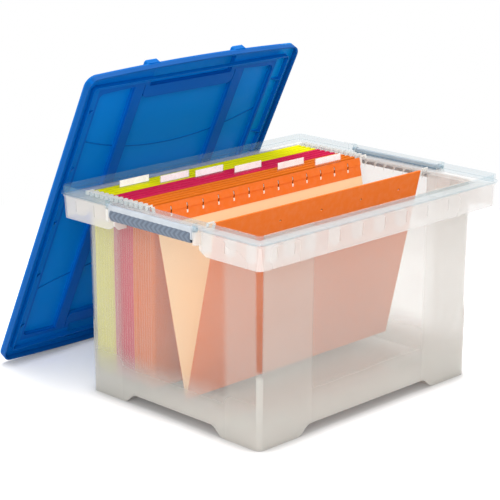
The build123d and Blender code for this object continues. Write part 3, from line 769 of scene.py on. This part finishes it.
def add_mesh(name: str, points: np.ndarray, faces: np.ndarray) -> bpy.types.Object:
    """Put arrays into a new smooth-shaded object at the origin.

    Args:
        name: The object's name.
        points: One row per vertex, in metres.
        faces: One row of four vertex numbers per face.

    Returns:
        The new object.
    """
    mesh = bpy.data.meshes.new(name)
    mesh.from_pydata(points.tolist(), [], faces.tolist())
    mesh.polygons.foreach_set("use_smooth", np.full(len(mesh.polygons), True))
    mesh.update()
    item = bpy.data.objects.new(name, mesh)
    bpy.context.scene.collection.objects.link(item)
    return item


def tube_faces(rows: int, columns: int) -> np.ndarray:
    """Quads of a grid whose columns close on themselves.

    Face (i, j) joins rows i and i + 1 and columns j and j + 1, the last column to the first.

    Args:
        rows: Rows of the grid.
        columns: Columns of the grid.

    Returns:
        One row of four vertex numbers per face.
    """
    row, column = np.meshgrid(np.arange(rows - 1), np.arange(columns), indexing="ij")
    after = (column + 1) % columns
    near, far = row * columns, (row + 1) * columns
    return np.stack([near + column, near + after, far + after, far + column], -1).reshape(-1, 4)


def sheet_faces(rows: int, columns: int) -> np.ndarray:
    """Quads of an open grid: face (i, j) joins rows i and i + 1 and columns j and j + 1.

    Args:
        rows: Rows of the grid.
        columns: Columns of the grid.

    Returns:
        One row of four vertex numbers per face.
    """
    row, column = np.meshgrid(np.arange(rows - 1), np.arange(columns - 1), indexing="ij")
    first = row * columns + column
    return np.stack([first, first + 1, first + columns + 1, first + columns], -1).reshape(-1, 4)


def dress(item: bpy.types.Object, *materials: bpy.types.Material) -> None:
    """Give an object its materials.

    Args:
        item: The object.
        materials: The materials, in slot order.
    """
    item.data.materials.clear()
    for material in materials:
        item.data.materials.append(material)


def round_edges(item: bpy.types.Object, width: float, glint_slot: int = -1) -> None:
    """Round a solid's sharp edges and smooth its shading.

    Args:
        item: The object; loose triangles are welded first.
        width: Width of the rounding.
        glint_slot: Material slot of the rounded strips, or -1 to keep each face's own.
    """
    weld = item.modifiers.new("weld", "WELD")
    weld.merge_threshold = WELD_DISTANCE
    bevel = item.modifiers.new("round", "BEVEL")
    bevel.width = width
    bevel.segments = BEVEL_SEGMENTS
    bevel.limit_method = "ANGLE"
    bevel.angle_limit = SHARP_ANGLE
    bevel.use_clamp_overlap = True
    bevel.material = glint_slot
    normals = item.modifiers.new("normals", "WEIGHTED_NORMAL")
    normals.keep_sharp = False
    normals.weight = FLAT_FACE_WEIGHT


# ------------------------------------------------------------------ sub-assemblies
@dataclass
class TubShell:
    """The clear tub."""

    edge: float = 0.7 * MM
    glint: Colour = srgb(252, 252, 250)

    def build(self) -> None:
        """Dress the tub's solid."""
        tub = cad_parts["tub"]
        # Painted highlight: the tub's rounded edges get a near-white, nearly opaque glint.
        dress(tub, MilkyPlastic().make(), EdgeGlint("tub_edge", self.glint).make())
        round_edges(tub, self.edge, glint_slot=1)
        LOG.info("tub dressed")


@dataclass
class LeaningLid:
    """The blue lid, which leans on the tub's back rim."""

    edge: float = 0.8 * MM
    glint: Colour = srgb(8, 104, 184)

    def build(self) -> None:
        """Dress the lid's solid."""
        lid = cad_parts["lid"]
        # Painted edge line: the lid's rounded edges get their own flat blue, a little darker than the
        # panel, in place of the light and shade the edges catch.
        dress(lid, BluePlastic().make(), EdgeGlint("lid_edge", self.glint, 1.0).make())
        round_edges(lid, self.edge, glint_slot=1)
        LOG.info("lid dressed")


@dataclass
class GripSleeve:
    """Ribbed sleeve round one handle's bar, an oval tube with raised chevrons.

    The surface is (x, y, z) = (px + (a + h) cos t, y, pz + (b + h) sin t). The half sizes a and b
    shrink to their end shares over the last stretch, along a quarter of an ellipse. The height h
    is relief times the crests of 0.5 + 0.5 cos(2 pi (y + slope b |sin t|) / pitch), faded out
    over the same stretch.
    """

    side: int
    pivot_x: float = 227.5 * MM
    middle_z: float = 257.7 * MM
    half_width: float = 5.05 * MM
    half_height: float = 7.85 * MM
    half_length: float = 72.1 * MM
    pitch: float = 8.3 * MM
    slope: float = 0.9
    relief: float = 0.22 * MM
    crest_from: float = 0.35
    crest_over: float = 0.3
    end_length: float = 3 * MM
    end_width: float = 0.82
    end_height: float = 0.86
    rows: int = 420
    columns: int = 64

    def build(self, material: bpy.types.Material) -> bpy.types.Object:
        """Make the sleeve in place of its solid.

        Args:
            material: The sleeve's finish.

        Returns:
            The new object.
        """
        along = np.linspace(-1, 1, self.rows)[:, None] * self.half_length
        turn = np.linspace(0, 2 * np.pi, self.columns, endpoint=False)[None, :]
        lift = np.abs(np.sin(turn)) * self.half_height
        phase = (along + self.slope * lift) / self.pitch
        wave = 0.5 + 0.5 * np.cos(2 * np.pi * phase)
        crest = smoothstep(np.clip((wave - self.crest_from) / self.crest_over, 0, 1))
        ends = np.clip((self.half_length - np.abs(along)) / self.end_length, 0, 1)
        taper = np.sqrt(np.clip(1 - (1 - ends) ** 2, 0, 1))
        height = self.relief * crest * ends
        width, tall = (share + (1 - share) * taper for share in (self.end_width, self.end_height))
        across = (self.half_width * width + height) * np.cos(turn)
        up = (self.half_height * tall + height) * np.sin(turn)
        shape = np.broadcast_to(across, (self.rows, self.columns))
        points = np.stack([
            self.side * self.pivot_x + shape,
            np.broadcast_to(TUB_Y + along, shape.shape),
            self.middle_z + up,
        ], -1).reshape(-1, 3)
        name = "grip_sleeve_left" if self.side < 0 else "grip_sleeve_right"
        item = add_mesh(name, points, tube_faces(self.rows, self.columns))
        attribute = item.data.attributes.new("ridge", "FLOAT", "POINT")
        attribute.data.foreach_set("value", (crest * ends).astype(np.float32).ravel())
        dress(item, material)
        return item


@dataclass
class Handles:
    """Both flip-up handles."""

    edge: float = 0.6 * MM

    def build(self) -> None:
        """Dress the bars and sheathe the grips."""
        grey = GreyPlastic().make()
        rubber = SleeveRubber().make()
        for word, side in (("left", -1), ("right", 1)):
            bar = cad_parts[f"handle_bar_{word}"]
            dress(bar, grey)
            round_edges(bar, self.edge)
            sleeve = GripSleeve(side).build(rubber)
            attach(sleeve, f"handle_{word}")
            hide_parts(f"handle_grip_{word}")
            LOG.info("handle %s dressed", word)


@dataclass
class CardFolder:
    """One shut hanging folder of a single card: flap, hem over the rod, side, fold and back up.

    Half the profile is a polyline in (y, z), sampled evenly and at its corners; the other half is
    its mirror. With d the depth under the top as a share of the whole depth, a point moves along
    Y by sway w(z) (0.5 sin(x / l + p) + 0.3 sin(x / s + q + 2 d) + 0.5 sin(2.6 d + r)) / 1.3,
    where l and s are the long and the short wave, p, q and r are the folder's own phases, and w
    goes smoothly from 0 at the rods to 1. Below the hem its depth is scaled by the
    folder's own drop.
    """

    middle_y: float
    seed: int
    half_length: float = 189.5 * MM
    top_z: float = 268.0 * MM
    fold_z: float = 23.3 * MM
    half_thickness: float = 2.2 * MM
    sheet: float = 0.46 * MM
    sway: float = 1.7 * MM
    long_wave: float = 92 * MM
    short_wave: float = 41 * MM
    still_depth: float = 12 * MM
    swaying_over: float = 90 * MM
    drop: Span = (0.982, 1.0)
    hem_share: float = 0.12
    columns: int = 40
    samples: int = 49
    least_step: float = 2 * MM

    def profile(self) -> np.ndarray:
        """Half of the card's middle line, from the flap's free edge to the fold.

        Returns:
            One (y, z) row per point.
        """
        face, top, fold = self.half_thickness, self.top_z, self.fold_z
        flap = ((0.45, 25), (0.5, 14), (1.0, 11), (1.65, 9.3), (1.65, 0.25), (0, 0.25), (0, 11), (0, 60))
        foot = ((1, 60), (0.9, 14), (0.45, 3), (0, 0.3))
        knots = np.array(
            [(face - inset * MM, top - depth * MM) for inset, depth in flap]
            + [(face * share, fold + height * MM) for share, height in foot]
        )
        lengths = np.maximum(np.linalg.norm(np.diff(knots, axis=0), axis=1), self.least_step)
        steps = np.concatenate([[0], np.cumsum(lengths)])
        fine = np.union1d(np.linspace(0, steps[-1], self.samples), steps)
        return np.stack([np.interp(fine, steps, knots[:, axis]) for axis in (0, 1)], -1)

    def build(self, name: str, material: bpy.types.Material) -> bpy.types.Object:
        """Make the sheet.

        Args:
            name: The object's name.
            material: The card's finish.

        Returns:
            The new object.
        """
        half = self.profile()
        line = np.concatenate([half, half[-2::-1] * (-1, 1)])
        x = np.linspace(-1, 1, self.columns) * self.half_length
        chance = np.random.default_rng(self.seed)
        drop = chance.uniform(*self.drop)
        phase = chance.uniform(0, 2 * np.pi, 3)
        under = self.top_z - line[:, 1:]
        share = smoothstep(np.clip((under - self.still_depth) / self.swaying_over, 0, 1))
        depth = under / (self.top_z - self.fold_z)
        wave = (
            0.5 * np.sin(x[None, :] / self.long_wave + phase[0])
            + 0.3 * np.sin(x[None, :] / self.short_wave + phase[1] + 2 * depth)
            + 0.5 * np.sin(2.6 * depth + phase[2])
        )
        y = self.middle_y + line[:, :1] + self.sway * share * wave / 1.3
        z = self.top_z - under * np.where(depth > self.hem_share, drop, 1.0)
        points = np.stack([np.broadcast_to(x, y.shape), y, np.broadcast_to(z, y.shape)], -1).reshape(-1, 3)
        item = add_mesh(name, points, sheet_faces(len(line), self.columns))
        solid = item.modifiers.new("card", "SOLIDIFY")
        solid.thickness = self.sheet
        solid.offset = 0
        solid.use_even_offset = True
        dress(item, material)
        return item


@dataclass
class FolderStack:
    """The shut folders, their rods, tabs and labels."""

    first_seed: int = 3
    tab_edge: float = 0.12 * MM
    label: Colour = srgb(252, 249, 248)
    label_worn: Colour = srgb(240, 240, 244)
    label_glow: float = 0.25

    def sheets(self, cards: dict[Paper, bpy.types.Material]) -> None:
        """Make each shut folder's card in place of its solid.

        Args:
            cards: The finish of each colour.
        """
        solids = sorted(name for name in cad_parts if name.startswith("folder_"))
        for seed, solid in enumerate(solids, self.first_seed):
            low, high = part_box(solid)
            colour = Paper[solid.split("_")[-1].upper()]
            name = solid.replace("folder", "card")
            card = CardFolder((low.y + high.y) / 2, seed).build(name, cards[colour])
            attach(card, solid[:9])
            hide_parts(solid)
        LOG.info("%d shut folders made", len(solids))

    def build(self) -> None:
        """Make the cards and dress every other node of the stack."""
        cards = {colour: Card(f"card_{colour.name.lower()}", *colour.value).make() for colour in Paper}
        self.sheets(cards)
        steel = CoatedSteel().make()
        tab = TabPlastic().make()
        # Painted light: the label glows faintly so it stays white in the tab's shade.
        label = Card("label_white", self.label, self.label_worn, glow=self.label_glow).make()
        for name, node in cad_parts.items():
            if name.startswith(("rods_", "open_rod")):
                dress(node, steel)
            elif name.startswith("tab_"):
                dress(node, tab)
                round_edges(node, self.tab_edge)
            elif name.startswith("label_"):
                dress(node, label)
        LOG.info("stack dressed")


@dataclass
class OpenFolder:
    """The open folder in front of the stack."""

    bright: Colour = srgb(244, 124, 48)
    low: Colour = srgb(242, 116, 22)
    pale: Colour = srgb(255, 224, 182)

    def build(self) -> None:
        """Dress both halves."""
        rear = OpenCard("open_rear_card", self.bright, self.bright, self.pale, -1)
        front = OpenCard("open_front_card", self.bright, self.low, self.pale, 1)
        dress(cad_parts["open_folder_rear"], rear.make())
        dress(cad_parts["open_folder_front"], front.make())
        LOG.info("open folder dressed")


@dataclass(frozen=True)
class Lamp:
    """One soft square lamp: where it stands, the length of its side and its watts."""

    name: str
    place: tuple[float, float, float]
    size: float
    power: float


@dataclass
class Studio:
    """Camera, floor and light, with angles in degrees and the lens and sensor in millimetres."""

    sensor: float = 36.0
    clip_end: float = 20
    lens: float = 126.54
    azimuth: float = -45.0795
    elevation: float = 15.9341
    roll: float = 0.0586
    distance: float = 2.44711
    target: Vector = field(
        default_factory=lambda: Vector((77.98 * MM, 136.38 * MM + TUB_Y, 138.0 * MM))
    )
    floor_radii: Span = (0.4, 6)
    floor_rings: int = 30
    floor_spokes: int = 96
    floor_drop: float = 0.4 * MM
    surroundings: Span = (0.78, 1.0)
    see_through_bounces: int = 24
    lamps: tuple[Lamp, ...] = (
        Lamp("key", (-2.1, -1.6, 1.35), 1.8, 29),
        Lamp("fill", (1.9, -1.6, 1.3), 1.8, 3),
        Lamp("top", (0.3, 0.5, 2.6), 1.6, 32),
    )

    def camera(self) -> None:
        """Put the camera on its ray and aim it at the target."""
        turn, rise = math.radians(self.azimuth), math.radians(self.elevation)
        ray = Vector((math.sin(turn) * math.cos(rise), -math.cos(turn) * math.cos(rise), math.sin(rise)))
        data = bpy.data.cameras.new("camera")
        data.lens = self.lens
        data.sensor_width = self.sensor
        data.clip_end = self.clip_end
        item = bpy.data.objects.new("camera", data)
        bpy.context.scene.collection.objects.link(item)
        aim = (-ray).to_track_quat("-Z", "Y").to_matrix() @ Matrix.Rotation(math.radians(self.roll), 3, "Z")
        item.matrix_world = Matrix.Translation(self.target + ray * self.distance) @ aim.to_4x4()
        bpy.context.scene.camera = item

    def floor(self) -> None:
        """Lay a flat round floor: (r cos t, r sin t, -drop)."""
        radius = np.concatenate([[0.0], np.linspace(*self.floor_radii, self.floor_rings)])
        turn = np.linspace(0, 2 * np.pi, self.floor_spokes, endpoint=False)
        x, y = np.outer(radius, np.cos(turn)), np.outer(radius, np.sin(turn))
        points = np.stack([x, y, np.full_like(x, -self.floor_drop)], -1).reshape(-1, 3)
        item = add_mesh("floor", points, tube_faces(len(radius), self.floor_spokes))
        dress(item, Floor().make())

    def light(self, lamp: Lamp) -> None:
        """Set up a lamp and aim it at the set.

        Args:
            lamp: The lamp.
        """
        data = bpy.data.lights.new(lamp.name, "AREA")
        data.size = lamp.size
        data.energy = lamp.power
        item = bpy.data.objects.new(lamp.name, data)
        bpy.context.scene.collection.objects.link(item)
        spot = Vector(lamp.place)
        aim = (self.target - spot).to_track_quat("-Z", "Y").to_matrix().to_4x4()
        item.matrix_world = Matrix.Translation(spot) @ aim

    def world(self) -> None:
        """Surround the set evenly with white, which is softer on the set than it looks itself."""
        world = bpy.data.worlds.new("surroundings")
        bpy.context.scene.world = world
        world.use_nodes = True
        tree = world.node_tree
        tree.nodes.clear()
        path = tree.nodes.new("ShaderNodeLightPath")
        seen = path.outputs["Is Camera Ray"]
        for ray in ("Is Glossy Ray", "Is Transmission Ray"):
            either = tree.nodes.new("ShaderNodeMath")
            either.operation = "MAXIMUM"
            tree.links.new(seen, either.inputs[0])
            tree.links.new(path.outputs[ray], either.inputs[1])
            seen = either.outputs[0]
        strength = tree.nodes.new("ShaderNodeMapRange")
        tree.links.new(seen, strength.inputs["Value"])
        for end, brightness in zip(("To Min", "To Max"), self.surroundings):
            strength.inputs[end].default_value = brightness
        sky = tree.nodes.new("ShaderNodeBackground")
        sky.inputs["Color"].default_value = (1, 1, 1, 1)
        tree.links.new(strength.outputs[0], sky.inputs["Strength"])
        output = tree.nodes.new("ShaderNodeOutputWorld")
        tree.links.new(sky.outputs[0], output.inputs["Surface"])

    def build(self) -> None:
        """Set up everything that isn't the object."""
        self.camera()
        self.floor()
        self.world()
        for lamp in self.lamps:
            self.light(lamp)
        bpy.context.scene.cycles.transparent_max_bounces = self.see_through_bounces
        bpy.context.scene.view_settings.view_transform = "Standard"
        LOG.info("studio ready")


def main() -> None:
    """Build the studio and dress the set, piece by piece."""
    Studio().build()
    TubShell().build()
    LeaningLid().build()
    Handles().build()
    FolderStack().build()
    OpenFolder().build()


if __name__ == "__main__":
    main()
